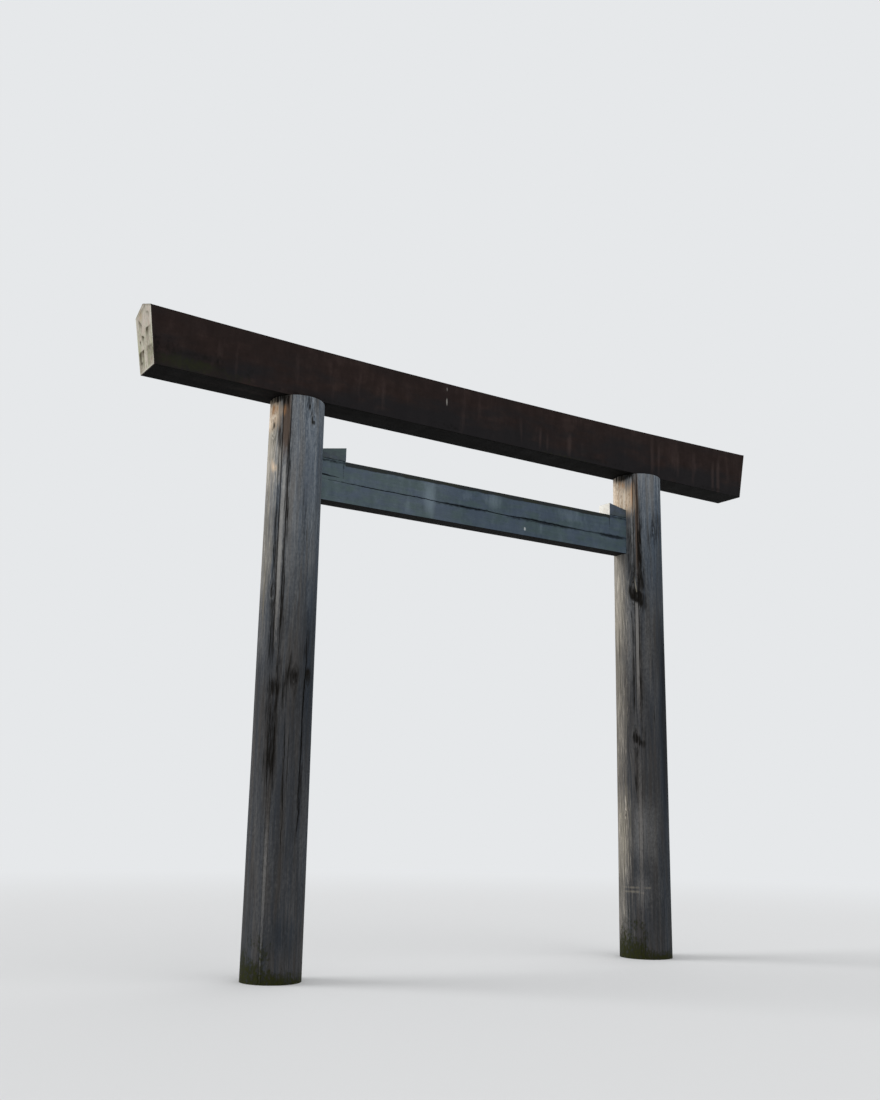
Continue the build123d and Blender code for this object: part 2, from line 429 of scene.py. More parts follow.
# Sawn and adzed end grain, which soaks up rain and dries pale, with weather streaks running down it.
# Its pale tone is partly painted sunlight, and its dark dented patches are painted dappled shade
endLook = {
    "patterns": {"pores": ((9 * mm, 9 * mm, 26 * mm), 4.0), "streak": ((28 * mm, 28 * mm, 0.16), 3.0),
                 "rag": ((30 * mm, 30 * mm, 50 * mm), 4.0), "tint": ((0.1, 0.1, 0.13), 3.0)},
    "tone": {"pores": 0.4, "streak": 0.6}, "spread": 0.13, "colours": ["#878373", "#a8a495", "#c3bfb2"],
    "relief": 1.0, "bump": 0.5,
    "layers": [
        ("upper", 0, 1, 0.5, "#afa79f"),
        ("tint", 0.5, 0.62, 0.45, "#b8a79b"),
        ("tint", 0.5, 0.38, 0.45, "#a5a683"),
        ("pale", 0.2, 0.9, 0.6, "#ceccc2", {"rag": ("rag", 0.7)}),
        ("warm", 0.2, 0.9, 0.5, "#a58c7b", {"rag": ("rag", 0.7)}),
        # the dark dented patches here are painted dappled shade
        ("stainAndShade", 0.05, 0.75, 0.95, "#464030", {"rag": ("rag", 0.7)})]}
# The wedges' butts: cream end grain, lightened to near white as painted sunlight
sunlitButtLook = dict(endLook, colours=["#f6efe2", "#fcf8ee", "#fffdf7"], layers=endLook["layers"][3:4])

postTimber = weatheredTimber("weathered_cypress_log", postLook)
fillerTimber = weatheredTimber("weathered_cypress_strip", fillerLook)
lintelTimber = weatheredTimber("rain_and_shade_dark_cypress_timber", lintelLook)
beamTimber = weatheredTimber("blue_grey_cypress_plank", beamLook)
wedgeTimber = weatheredTimber("dark_cypress_wedge", wedgeLook)
endGrain = weatheredTimber("pale_cypress_end_grain", endLook)
sunlitButtGrain = weatheredTimber("sunlit_cypress_end_grain", sunlitButtLook)


print("stage: posts")

# Angles are degrees from the front, positive to the right; heights and sizes are metres. knots: angle,
# height, size. Soft spots of each mask: angle, height, half width, half height, strength. scar and
# checks: start angle and height, end angle and height, then width and strength, or width and depth.
# footShade: heights where the painted shade towards the foot is full and gone. moss: height all round,
# extra on one side, that side's angle and half width. sunlitSide, tan and sunGlow are painted sunlight,
# and shaded is painted shade.
leftPost = {
    "name": "left_post", "axis": leftAxis, "foot": 339 * mm, "head": 328 * mm, "seed": 11,
    "kerfTurn": -46, "kerfHead": 105 * mm, "kerfFoot": 30 * mm, "footShade": (2.9, 7.3),
    "moss": (0.08, 0.17, -66, 0.3),
    "knots": [
        (10.5, 6.34, 0.028), (-81, 6.30, 0.036), (-60, 4.26, 0.022), (-5.5, 3.3, 0.03),
        (24, 3.28, 0.026), (140, 4.9, 0.035), (172, 2.3, 0.03), (100, 1.4, 0.03)],
    "stainAndShade": [
        (11, 6.34, 0.03, 0.032, 1.3), (8, 6.4, 0.018, 0.045, 0.85), (5, 6.46, 0.02, 0.05, 0.75),
        (1.5, 6.53, 0.022, 0.055, 0.6), (5, 5.15, 0.06, 0.4, 0.2), (19, 2.1, 0.03, 0.25, 0.7),
        (0, 6.62, 0.07, 0.09, 0.5), (18, 6.6, 0.09, 0.15, 0.35), (-61, 4.9, 0.008, 1.2, 0.9),
        # (-76, 6.69) and (-50, 6.68): painted shadow of the lintel across the post's top
        (-76, 6.69, 0.14, 0.1, 2.2), (-50, 6.68, 0.05, 0.15, 1.4), (-59, 6.1, 0.034, 0.17, 0.75),
        (-59.5, 4.9, 0.034, 0.55, 0.6), (-58, 3.95, 0.044, 0.55, 0.7), (-38, 5.75, 0.026, 0.45, 0.62),
        (-38, 5.2, 0.03, 0.4, 0.7), (-38.5, 4.2, 0.03, 0.6, 0.75), (-9, 3.31, 0.08, 0.12, 0.85),
        (-16, 3.4, 0.03, 0.24, 0.55), (-3, 3.18, 0.02, 0.2, 0.5), (26, 3.33, 0.05, 0.1, 0.95),
        (20, 3.75, 0.05, 0.3, 0.4), (-46, 3.17, 0.1, 0.12, 0.85), (-38, 3.28, 0.03, 0.3, 0.65),
        (-54, 3.1, 0.03, 0.25, 0.6), (-26, 3.15, 0.03, 0.18, 0.7), (-50, 2.6, 0.075, 0.58, 0.75),
        (-40, 2.6, 0.024, 0.6, 1.0), (-21, 2.1, 0.009, 0.5, 0.5), (-12, 2.3, 0.01, 0.4, 0.4),
        (140, 4.8, 0.05, 0.2, 0.8), (172, 2.2, 0.05, 0.2, 0.7)],
    "pale": [
        (-47, 5.3, 0.027, 0.65, 0.75), (-48, 4.48, 0.03, 0.7, 0.95), (22, 5.75, 0.02, 0.45, 0.4),
        (17, 4.7, 0.018, 0.75, 0.4), (-46.5, 0.9, 0.018, 0.9, 0.33), (-47, 1.0, 0.034, 1.05, 0.17)],
    "lightened": [
        (-48, 4.8, 0.026, 0.65, 0.3), (-46.5, 1.1, 0.03, 0.6, 0.22), (-46.5, 0.25, 0.01, 0.3, 0.25),
        (-45, 1.15, 0.1, 0.7, 0.08), (-25, 5.3, 0.09, 1.15, 0.22), (-25, 6.5, 0.08, 0.25, 0.15),
        (15, 5.5, 0.13, 1.0, 0.16), (-88, 3.75, 0.1, 0.3, 0.14), (-85, 1.8, 0.12, 0.6, 0.07),
        # (35, 1.6): painted skylight low on the right side
        (35, 1.6, 0.1, 0.7, 0.12), (-10, 1.0, 0.25, 0.25, 0.05)],
    "warm": [(-47, 6.33, 0.06, 0.42, 1.0), (-63, 6.25, 0.02, 0.3, 0.6)],
    # tan: painted sunlight, cream patches below the lintel's shadow, and glints near 5.8 m
    "tan": [
        (-92, 6.45, 0.16, 0.19, 1.15), (-68, 6.46, 0.09, 0.09, 0.5), (-80, 5.81, 0.03, 0.08, 0.5),
        (-75, 5.78, 0.024, 0.06, 0.8), (-69, 5.76, 0.03, 0.045, 0.6)],
    # painted sunlight: orange glow along the lintel's shadow edge, and a glint's centre
    "sunGlow": [
        (-85, 6.5, 0.05, 0.08, 0.9), (-76, 6.5, 0.05, 0.05, 0.8), (-54, 6.47, 0.035, 0.07, 0.5),
        (-75.5, 5.79, 0.006, 0.03, 0.6)],
    # painted sunlight down the left side, strongest at the top
    "sunlitSide": [(-104, 6.5, 0.21, 1.1, 1.0), (-100, 5.0, 0.2, 1.0, 0.36), (-64, 5.85, 0.07, 0.28, 0.4)],
    "scar": [],
    "shaded": [
        (42, 5.5, 0.3, 1.1, 0.5), (45, 3.6, 0.25, 1.3, 0.62), (48, 1.6, 0.2, 1.3, 0.4),
        (0, 0.48, 0.2, 0.2, 0.4)],
    "checks": [
        (20, 4.0, 12.8, 1.45, 15 * mm, 45 * mm), (-20, 2.9, -17, 1.3, 3 * mm, 20 * mm),
        (150, 5.9, 154, 3.2, 7 * mm, 40 * mm), (80, 3.0, 78, 1.2, 4 * mm, 25 * mm)]}
rightPost = {
    "name": "right_post", "axis": rightAxis, "foot": 350 * mm, "head": 340 * mm, "seed": 23,
    "kerfTurn": -48, "kerfHead": 58 * mm, "kerfFoot": 50 * mm, "footShade": (4.0, 7.2),
    "moss": (0.085, 0.21, -80, 0.28),
    "knots": [
        (-51, 4.92, 0.045), (-57.5, 2.88, 0.035), (-4, 5.83, 0.018), (-85, 1.85, 0.016),
        (120, 5.2, 0.035), (165, 3.4, 0.03), (60, 2.2, 0.025)],
    "stainAndShade": [
        (-59, 4.94, 0.05, 0.1, 1.0), (-52, 4.88, 0.06, 0.075, 1.8), (-44, 4.85, 0.06, 0.075, 1.8),
        (-37, 4.81, 0.05, 0.1, 1.5), (-31, 4.76, 0.035, 0.12, 0.8), (-58, 5.2, 0.045, 0.22, 0.75),
        (-37, 5.1, 0.055, 0.22, 0.95), (-58, 2.95, 0.03, 0.13, 0.9), (-53, 2.86, 0.05, 0.06, 1.2),
        (-45, 2.82, 0.05, 0.045, 1.0), (-40, 2.8, 0.04, 0.06, 0.8), (-38, 2.97, 0.03, 0.1, 0.5),
        # (-84, 6.68) and (-60, 6.69): painted shadow of the lintel across the post's top
        (-56, 2.7, 0.035, 0.14, 0.5), (-58, 3.9, 0.02, 1.0, 0.65), (-84, 6.68, 0.14, 0.11, 2.0),
        (-60, 6.69, 0.07, 0.1, 1.2), (-38, 5.55, 0.032, 0.7, 1.0), (-57, 2.4, 0.026, 0.35, 0.6),
        (-41, 3.9, 0.018, 0.85, 0.65), (-62, 5.5, 0.05, 0.5, 0.4), (-8, 5.7, 0.07, 0.2, 0.4),
        (12, 5.9, 0.1, 0.22, 0.5), (-97, 4.0, 0.012, 0.8, 0.5), (120, 5.1, 0.06, 0.25, 0.8)],
    "pale": [
        (-47.5, 4.1, 0.034, 0.85, 1.0), (-55, 5.8, 0.03, 0.5, 0.45), (-68, 4.3, 0.035, 0.4, 0.5),
        (-49, 1.5, 0.035, 1.0, 0.7)],
    "lightened": [
        (-48, 4.2, 0.044, 0.7, 0.26), (-48, 1.65, 0.12, 0.4, 0.22), (-45, 0.85, 0.14, 0.25, 0.14),
        (-67, 4.3, 0.07, 0.8, 0.18), (-25, 4.05, 0.1, 0.7, 0.12), (-25, 1.6, 0.14, 0.5, 0.16),
        (-5, 0.9, 0.3, 0.25, 0.06)],
    "warm": [(-43.5, 5.95, 0.03, 0.8, 1.0), (-49, 6.45, 0.03, 0.2, 0.7)],
    # tan: painted sunlight, cream patches below the lintel's shadow
    "tan": [(-103, 6.36, 0.2, 0.3, 1.15), (-69, 6.28, 0.125, 0.22, 0.85)],
    # painted sunlight: orange glow along the lintel's shadow edge
    "sunGlow": [(-88, 6.52, 0.03, 0.07, 0.8), (-78, 6.5, 0.03, 0.05, 0.6), (-56, 6.3, 0.03, 0.2, 0.5)],
    # painted sunlight down the left side
    "sunlitSide": [
        (-97, 4.35, 0.05, 0.3, 0.55), (-108, 5.0, 0.2, 1.2, 0.62), (-108, 3.6, 0.19, 1.8, 0.38),
        (-108, 1.6, 0.2, 0.75, 0.5), (-108, 0.6, 0.2, 0.5, 0.28)],
    "scar": [
        (-52.5, 5.13, -47.5, 4.93, 7 * mm, 0.7), (-92, 0.853, -55, 0.853, 9 * mm, 0.4),
        (-56, 0.849, -25, 0.838, 9 * mm, 0.38), (-95, 0.91, -30, 0.905, 9 * mm, 0.33),
        (-107, 1.86, -106, 1.82, 20 * mm, 0.8)],
    "shaded": [
        (32, 3.2, 0.18, 1.7, 1.0), (35, 5.6, 0.25, 1.2, 0.6), (35, 1.0, 0.25, 1.0, 0.5),
        (-4, 5.6, 0.25, 0.7, 0.5)],
    "checks": [
        (-12, 4.2, -10, 3.0, 3 * mm, 20 * mm), (135, 6.0, 131, 2.9, 8 * mm, 45 * mm),
        (70, 4.4, 72, 2.6, 4 * mm, 25 * mm)]}


# What both logs have in common. ridges: height, how many round the log, length. knot: rise and dent,
# each with its width in knot sizes. mossTufts: share, how many round the log, height, seed. seam: how
# far it reaches from the kerf, and the heights between which it fades. sunk: depths where the painted
# shade in cuts starts and is full. wander: how far a check strays, over what length, and the seed.
logs = {
    "columns": 340, "rows": 250, "stripRows": 270, "stripSoft": 4 * mm,
    "ridges": [(1.6 * mm, 5, 1.4), (1.0 * mm, 26, 0.8), (0.6 * mm, 90, 0.5)],
    "knot": (3 * mm, 2.2, 5 * mm, 0.7), "knotStain": 0.9, "checkStain": 0.8,
    "mossTufts": [(0.4, 18, 0.15, 16), (0.25, 50, 0.08, 17)],
    "seam": (50 * mm, 3.8, 2.4), "sunk": (4 * mm, 14 * mm), "sunkMargin": 20 * mm,
    "wander": [(11 * mm, 0.22, 70), (4 * mm, 0.05, 80)]}


# Points round an upright axis from angle, radius and height
def pointsRound(axis, turn, radius, height):
    flat = 0 * turn * radius
    return np.stack([axis + radius * np.sin(turn), -radius * np.cos(turn), height + flat], axis=-1)


# The way along a log's surface from one angle to another, the short way round
def wayRound(turn, degrees, facts):
    return np.angle(np.exp(1j * (turn - radians(degrees)))) * facts["foot"]


# Radius of a log: a straight taper, slow swellings, upright ridges, and at each knot a low bump with a
# dent in its middle
def logRadius(turn, height, facts):
    share = turn / (2 * pi) % 1
    radius = facts["foot"] + (facts["head"] - facts["foot"]) * height / underside
    for part, (size, cells, tall) in enumerate(logs["ridges"]):
        radius = radius + size * softNoise(share, height, 1 / cells, tall, facts["seed"] + part, cells)
    rise, riseWide, dent, dentWide = logs["knot"]
    for angle, level, size in facts["knots"]:
        far = np.hypot(wayRound(turn, angle, facts), (height - level) * 0.7)
        radius = radius + rise * bell(far, riseWide * size) - dent * bell(far, dentWide * size)
    return radius


# Pale scratches: each is a bell across a line from one angle and height to another
def scarsAt(turn, height, facts):
    total = 0 * turn
    for fromAngle, fromHeight, toAngle, toHeight, width, strength in facts["scar"]:
        longU, longV = radians(toAngle - fromAngle) * facts["foot"], toHeight - fromHeight
        du, dv = wayRound(turn, fromAngle, facts), height - fromHeight
        along = np.clip((du * longU + dv * longV) / (longU ** 2 + longV ** 2), 0, 1)
        far = np.hypot(du - along * longU, dv - along * longV)
        total = np.maximum(total, strength * bell(far, width))
    return total


# A log's surface: a loop at each height, then the rim's quarter round, the shoulder and the tenon, which
# is a rectangle in polar form, the lesser of halfLength / |sin| and halfWidth / |cos|
def logMesh(facts):
    turn = np.arange(logs["columns"]) / logs["columns"] * 2 * pi
    rim = joinery["rimRound"]
    heights = np.linspace(0, underside - rim, logs["rows"])[:, None]
    body = logRadius(turn, heights, facts)
    bend = np.linspace(0, pi / 2, 6)[1:, None]
    rimRadius = body[-1] - rim + rim * np.cos(bend)
    tenon = np.minimum(joinery["tenonLength"] / 2 / np.maximum(np.abs(np.sin(turn)), 1e-6),
                       joinery["tenonWidth"] / 2 / np.maximum(np.abs(np.cos(turn)), 1e-6))[None]
    radius = np.concatenate([body[:1] * [[0.0], [0.35], [0.7]], body, rimRadius,
                             (rimRadius[-1:] + tenon) / 2, tenon, tenon, 0 * tenon])
    height = np.concatenate([np.zeros((3, 1)), heights, underside - rim + rim * np.sin(bend),
                             np.full((2, 1), underside), np.full((2, 1), leftHigh.z)])
    return closedMesh(facts["name"] + "_log", pointsRound(facts["axis"], turn, radius, height))


# The kerf's slot: a tapered outline in the plane across the kerf, carried outwards
def kerfCutter(facts):
    a = radians(facts["kerfTurn"])
    outward, across = pointsRound(0, a, 1, 0), pointsRound(0, a + pi / 2, 1, 0)
    low = facts["kerfFoot"] / 2 + joinery["kerfClearance"]
    high = facts["kerfHead"] / 2 + joinery["kerfClearance"]
    over = joinery["cutterReach"]
    outlines = []
    for reach in (facts["head"] - joinery["kerfDepth"], facts["foot"] + over):
        corners = [(-low, -over), (low, -over), (high, underside + over), (-high, underside + over)]
        outlines.append([outward * reach + across * s + [facts["axis"], 0, z] for s, z in corners])
    return prism(*outlines)


# The housing for the beam's end and the wedge: an outline in x and z, carried through in y
def housingCutter(facts, inward, beamEnd, buttX, buttTop):
    deep = beamEnd - inward * joinery["endClearance"]
    out = facts["axis"] + inward * (facts["foot"] + joinery["cutterReach"])
    half = beamHalf + joinery["sideClearance"]
    slope = tan(radians(joinery["wedgeSlope"]))
    corners = [(deep, beamLow.z), (out, beamLow.z), (out, buttTop - slope * abs(buttX - out)),
               (deep, buttTop - slope * abs(buttX - deep))]
    return prism([(x, -half, z) for x, z in corners], [(x, half, z) for x, z in corners])


# A check's angle at each height: straight from end to end, with two sizes of wander
def checkTurn(height, check, facts):
    fromAngle, fromHeight, toAngle, toHeight = check[:4]
    share = (height - fromHeight) / (toHeight - fromHeight)
    wander = 0
    for size, tall, seed in logs["wander"]:
        wander = wander + size * softNoise(0 * height, height, 1, tall, seed)
    return np.radians(fromAngle + (toAngle - fromAngle) * share) + wander / facts["foot"]


def logChecks(facts):
    blades = []
    for check in facts["checks"]:
        height = np.linspace(check[1], check[3], 70)
        turn = checkTurn(height, check, facts)
        path = pointsRound(facts["axis"], turn, logRadius(turn, height, facts), height)
        outward, across = pointsRound(0, turn, 1, 0), pointsRound(0, turn + pi / 2, 1, 0)
        blades.append(checkBlade(path, across, outward, *check[4:]))
    return blades


# Masks for a log, and a grain vector that parts round the knots like a stream round a stone: the shift
# is -du K^2 / (du^2 + (0.3 dz)^2 + K^2 / 4), where K is 1.7 knot sizes
def paintLog(piece, facts, isStrip):
    x, y, height = readPoints(piece).T
    turn = np.arctan2(x - facts["axis"], -y)
    radius = np.hypot(x - facts["axis"], y)
    share = turn / (2 * pi) % 1

    def wayTo(degrees):
        return wayRound(turn, degrees, facts)

    kinds = ("stainAndShade", "pale", "lightened", "warm", "tan", "sunGlow", "sunlitSide", "shaded")
    masks = {key: spotsAt(wayTo, height, facts[key]) for key in kinds}
    shift = np.zeros(len(x))
    for angle, level, size in facts["knots"]:
        du, dz = wayTo(angle), height - level
        dark = logs["knotStain"] * bell(np.hypot(du, dz * 0.8), size)
        masks["stainAndShade"] = np.maximum(masks["stainAndShade"], dark)
        shift = shift - du * (1.7 * size) ** 2 / (du ** 2 + (0.3 * dz) ** 2 + (0.85 * size) ** 2)
    for check in facts["checks"]:
        beside = np.angle(np.exp(1j * (turn - checkTurn(height, check, facts)))) * facts["foot"]
        inside = smoothStep(height, check[1] + 0.1, check[1] - 0.3)
        inside = inside * smoothStep(height, check[3] - 0.1, check[3] + 0.3)
        dark = logs["checkStain"] * bell(beside, check[4]) * inside
        masks["stainAndShade"] = np.maximum(masks["stainAndShade"], dark)
    masks["scar"] = scarsAt(turn, height, facts)
    # painted shade, darker towards the foot
    masks["footShade"] = smoothStep(height, facts["footShade"][1], facts["footShade"][0])
    # moss on the foot, in ragged tufts, higher on one side
    allRound, extra, side, halfWide = facts["moss"]
    tufts = 1
    for size, cells, tall, seed in logs["mossTufts"]:
        tufts = tufts + size * softNoise(share, height, 1 / cells, tall, seed, cells)
    low = (allRound + extra * bell(wayTo(side), halfWide, 4)) * tufts
    masks["moss"] = 1 - smoothStep(height, 0 * low, 2.4 * low)
    # the seam, 0 at the kerf's edge and 1 from 50 mm away, and whatever is cut below the surface, which
    # is darkened as painted shade
    half = (facts["kerfFoot"] + (facts["kerfHead"] - facts["kerfFoot"]) * height / underside) / 2
    seamWide, fadeFrom, fadeTo = logs["seam"]
    beside = np.abs(np.abs(wayTo(facts["kerfTurn"])) - half)
    masks["seam"] = beside / seamWide + smoothStep(height, fadeFrom, fadeTo)
    inFace = (height < underside - logs["sunkMargin"]) & (height > logs["sunkMargin"])
    sunk = smoothStep(logRadius(turn, height, facts) - radius, *logs["sunk"])
    masks["sunk"] = sunk * inFace * (not isStrip)
    paint(piece, masks, pointsRound(0, turn + shift / facts["foot"], radius, height + facts["seed"]))


# A filler strip: a loop at each height, with its front on the log's surface and its front arrises round
def fillerMesh(facts):
    a = radians(facts["kerfTurn"])
    rows, soft = logs["stripRows"], logs["stripSoft"]
    heights = np.linspace(0, underside, rows)[:, None]
    half = (facts["kerfFoot"] + (facts["kerfHead"] - facts["kerfFoot"]) * heights / underside) / 2
    back = facts["head"] - joinery["kerfDepth"]
    side = half * np.linspace(-1, 1, 25)
    surface = logRadius(a + np.arcsin(side / facts["head"]), heights, facts)
    front = np.sqrt(surface ** 2 - side ** 2) - 1 * mm
    arris = np.maximum(np.abs(side) - (half - soft), 0)
    front = front - (soft - np.sqrt(np.maximum(soft ** 2 - arris ** 2, 0)))
    rim = np.maximum(heights - (underside - joinery["rimRound"]), 0)
    front = front - (joinery["rimRound"] - np.sqrt(np.maximum(joinery["rimRound"] ** 2 - rim ** 2, 0)))
    fall = np.linspace(0, 1, 6)[1:-1]
    out = np.concatenate([front, front[:, -1:] + (back - front[:, -1:]) * fall, np.full((rows, 3), back),
                          back + (front[:, :1] - back) * fall], axis=1)
    along = np.concatenate([side, half + 0 * half * fall, half * [[1, 0, -1]], -half + 0 * half * fall],
                           axis=1)
    body = pointsRound(facts["axis"], a, out, heights)
    body = body + along[:, :, None] * pointsRound(0, a + pi / 2, 1, 0)
    rings = np.concatenate([shrunk(body[0], [0, 0.5]), body, shrunk(body[-1], [0.5, 0])])
    return closedMesh(facts["name"].replace("post", "kerf_filler") + "_strip", rings)


def makePost(facts, inward, beamEnd, buttX, buttTop):
    log = logMesh(facts)
    cutters = [kerfCutter(facts), housingCutter(facts, inward, beamEnd, buttX, buttTop)]
    cutAway(log, cutters + logChecks(facts))
    paintLog(log, facts, False)
    finishPiece(log, facts["name"], postTimber)
    strip = fillerMesh(facts)
    paintLog(strip, facts, True)
    finishPiece(strip, facts["name"].replace("post", "kerf_filler"), fillerTimber)


makePost(leftPost, 1, beamLow.x, leftWedgeHigh.x, leftWedgeHigh.z)
makePost(rightPost, -1, beamHigh.x, rightWedgeLow.x, rightWedgeHigh.z)


# A section carried along x. cornersAt(share) gives the section's corners as pairs y, z at each place,
# and xAt(share, z) the place. Each corner is a quadratic curve that starts and ends "soft" short of it,
# each edge is split by its count, and each end has a quarter round of the same size and closes on its
# middle over "endRings" loops.
def carriedSection(name, xAt, cornersAt, shares, facts):
    soft, endRings, flat = facts["soft"], facts["endRings"], 0 * shares
    corners = np.stack([np.stack([y + flat, z + flat], -1) for y, z in cornersAt(shares)], axis=1)
    nextOnes = np.roll(corners, -1, axis=1)
    ahead = (nextOnes - corners) / np.linalg.norm(nextOnes - corners, axis=2, keepdims=True)
    behind = np.roll(ahead, 1, axis=1)
    bend = np.linspace(0, 1, 5)[None, :, None]
    parts = []
    for k, count in enumerate(facts["counts"]):
        corner = corners[:, k:k + 1]
        start, end = corner - behind[:, k:k + 1] * soft, corner + ahead[:, k:k + 1] * soft
        parts.append((1 - bend) ** 2 * start + 2 * bend * (1 - bend) * corner + bend ** 2 * end)
        gap = nextOnes[:, k:k + 1] - ahead[:, k:k + 1] * soft - end
        parts.append(end + gap * np.linspace(0, 1, count + 2)[None, 1:-1, None])
    loop = np.concatenate(parts, axis=1)
    ends = []
    for side in (0, -1):
        reach = np.abs(loop[side] - loop[side].mean(0)).max(0)
        angles = np.linspace(0, pi / 2, 5)
        inward = 1 - (soft * (1 - np.cos(angles)))[:, None, None] / reach
        middle = loop[side].mean(0)
        rim = middle + (loop[side] - middle) * inward
        rings = np.concatenate([rim, shrunk(rim[-1], np.linspace(1, 0, endRings)[1:])])
        inset = np.concatenate([soft * (1 - np.sin(angles)), np.zeros(endRings - 1)])
        ends.append((rings, inset))
    yz = np.concatenate([ends[0][0][::-1], loop[1:-1], ends[1][0]])
    inset = np.concatenate([ends[0][1][::-1], np.zeros(len(shares) - 2), -ends[1][1]])
    count = len(ends[0][1])
    share = np.concatenate([np.full(count, shares[0]), shares[1:-1], np.full(count, shares[-1])])
    x = xAt(share[:, None], yz[:, :, 1]) + inset[:, None] + 0 * yz[:, :, 1]
    return closedMesh(name, np.concatenate([x[:, :, None], yz], axis=2))


print("stage: tie beam and wedges")

# Soft spots of each mask: x, height, half length, half height, strength; in besideCheck the height is
# from the first check. checks: face, -1 front and 1 back, start x and height, end x and height, width,
# depth. waves, mossEdge and wander: height, length, seed, and for waves the width before the seed. seam:
# how far the dark band of painted shade below each wedge lies under the beam's top, its half height and
# strength. drips: half width, strength and places. sunk: depths where the painted shade in cuts starts
# and is full.
beam = {
    "rowStep": 16 * mm, "counts": (12, 56, 12, 56), "endRings": 8, "soft": 6 * mm,
    "waves": [(1.2 * mm, 0.7, 0.16, 3), (0.4 * mm, 0.5, 18 * mm, 4)],
    "mossBand": 54 * mm, "mossEdge": (8 * mm, 0.13, 91), "mossFade": (-8 * mm, 10 * mm),
    "shaded": (1.9, 2.5), "seam": (24 * mm, 18 * mm, 0.8), "belowBand": 7 * mm,
    "drips": (10 * mm, 0.75, [0.605, 4.89]), "sunk": (5 * mm, 14 * mm), "sunkMargin": 30 * mm,
    "wander": [(6 * mm, 0.34, 50), (3 * mm, 0.06, 60)],
    "checks": [
        (-1, 0.28, 5.742, 5.34, 5.704, 14 * mm, 60 * mm),
        (-1, 0.26, 5.800, 0.56, 5.790, 12 * mm, 40 * mm), (-1, 3.0, 5.722, 5.14, 5.690, 4 * mm, 20 * mm),
        (1, 0.7, 5.68, 4.6, 5.76, 8 * mm, 45 * mm)],
    "pale": [
        (1.85, 5.74, 0.09, 0.26, 0.9), (1.53, 5.6, 0.05, 0.1, 0.35), (2.45, 5.88, 0.09, 0.08, 0.35),
        (2.86, 5.87, 0.16, 0.11, 0.5), (4.22, 5.87, 0.33, 0.1, 0.35), (3.66, 5.6, 0.03, 0.1, 0.4),
        (5.0, 5.85, 0.15, 0.1, 0.25)],
    "besideCheck": [
        (1.2, 0, 0.9, 0.009, 0.7), (2.4, -0.004, 0.42, 0.022, 0.85), (3.7, -0.01, 0.6, 0.027, 0.85),
        (4.95, -0.008, 0.28, 0.028, 1.0), (0.36, 0.056, 0.09, 0.012, 0.95)],
    "chalk": [(3.385, 5.575, 0.014, 0.026, 0.85)]}


def beamCorners(share):
    return rectangle(-beamHalf, beamHalf, beamLow.z, beamHigh.z)


def beamX(share, z):
    return beamLow.x + share * (beamHigh.x - beamLow.x)


# A check's height at each place: straight from end to end, with two sizes of wander
def checkRise(x, check):
    x0, z0, x1, z1 = check[1:5]
    rise = z0 + (z1 - z0) * (x - x0) / (x1 - x0)
    for size, long, seed in beam["wander"]:
        rise = rise + size * softNoise(x, 0 * x, long, 1, seed)
    return rise


def beamChecks():
    blades = []
    for check in beam["checks"]:
        outward = np.array([0, check[0], 0])
        x = np.linspace(check[1], check[3], 160)
        path = np.stack([x, 0 * x, checkRise(x, check)], axis=-1) + outward * beamHalf
        blades.append(checkBlade(path, np.array([0, 0, 1.0]), outward, *check[5:]))
    return blades


# Masks for the beam, with moss on the upper arrises and drips below the wedges' butts
def paintBeam(piece):
    points = readPoints(piece)
    x, y, z = points.T
    masks = {key: spotsAt(lambda x0: x - x0, z, beam[key]) for key in ("pale", "chalk")}
    masks["stainAndShade"] = spotsAt(lambda x0: x - x0, z - checkRise(x, beam["checks"][0]), beam["besideCheck"])
    masks["shaded"] = smoothStep(x, *beam["shaded"])
    for key in masks:
        masks[key] = masks[key] * (y < 0)
    between = (x > leftWedgeHigh.x) & (x < rightWedgeLow.x)
    ragged, long, seed = beam["mossEdge"]
    edge = beamHigh.z - beam["mossBand"] + ragged * softNoise(x, y, long, 1, seed)
    start, full = beam["mossFade"]
    masks["moss"] = between * smoothStep(z, edge + start, edge + full)
    # a dark band below each wedge: painted shade where it meets the beam
    drop, half, strength = beam["seam"]
    masks["stainAndShade"] = np.maximum(masks["stainAndShade"], strength * ~between * bell(z - beamHigh.z + drop, half))
    half, strength, places = beam["drips"]
    for place in places:
        drip = strength * bell(x - place, half) * smoothStep(z, beamLow.z + 0.1, beamHigh.z)
        masks["stainAndShade"] = np.maximum(masks["stainAndShade"], drip)
    # a dark band along the underside: painted shade
    masks["below"] = 1 - smoothStep(z, beamLow.z, beamLow.z + beam["belowBand"])
    # faces cut below the surface: painted shade
    margin = beam["sunkMargin"]
    inFace = (z > beamLow.z + margin) & (z < beamHigh.z - margin)
    inFace = inFace & (x > beamLow.x + margin) & (x < beamHigh.x - margin)
    masks["sunk"] = smoothStep(beamHalf - np.abs(y), *beam["sunk"]) * inFace
    paint(piece, masks, points)


beamShares = np.linspace(0, 1, round((beamHigh.x - beamLow.x) / beam["rowStep"]))
beamPiece = carriedSection("tie_beam_plank", beamX, beamCorners, beamShares, beam)
roughen(beamPiece, lambda points: planedRelief(points, beam["waves"]))
cutAway(beamPiece, beamChecks())
paintBeam(beamPiece)
finishPiece(beamPiece, "tie_beam", beamTimber)

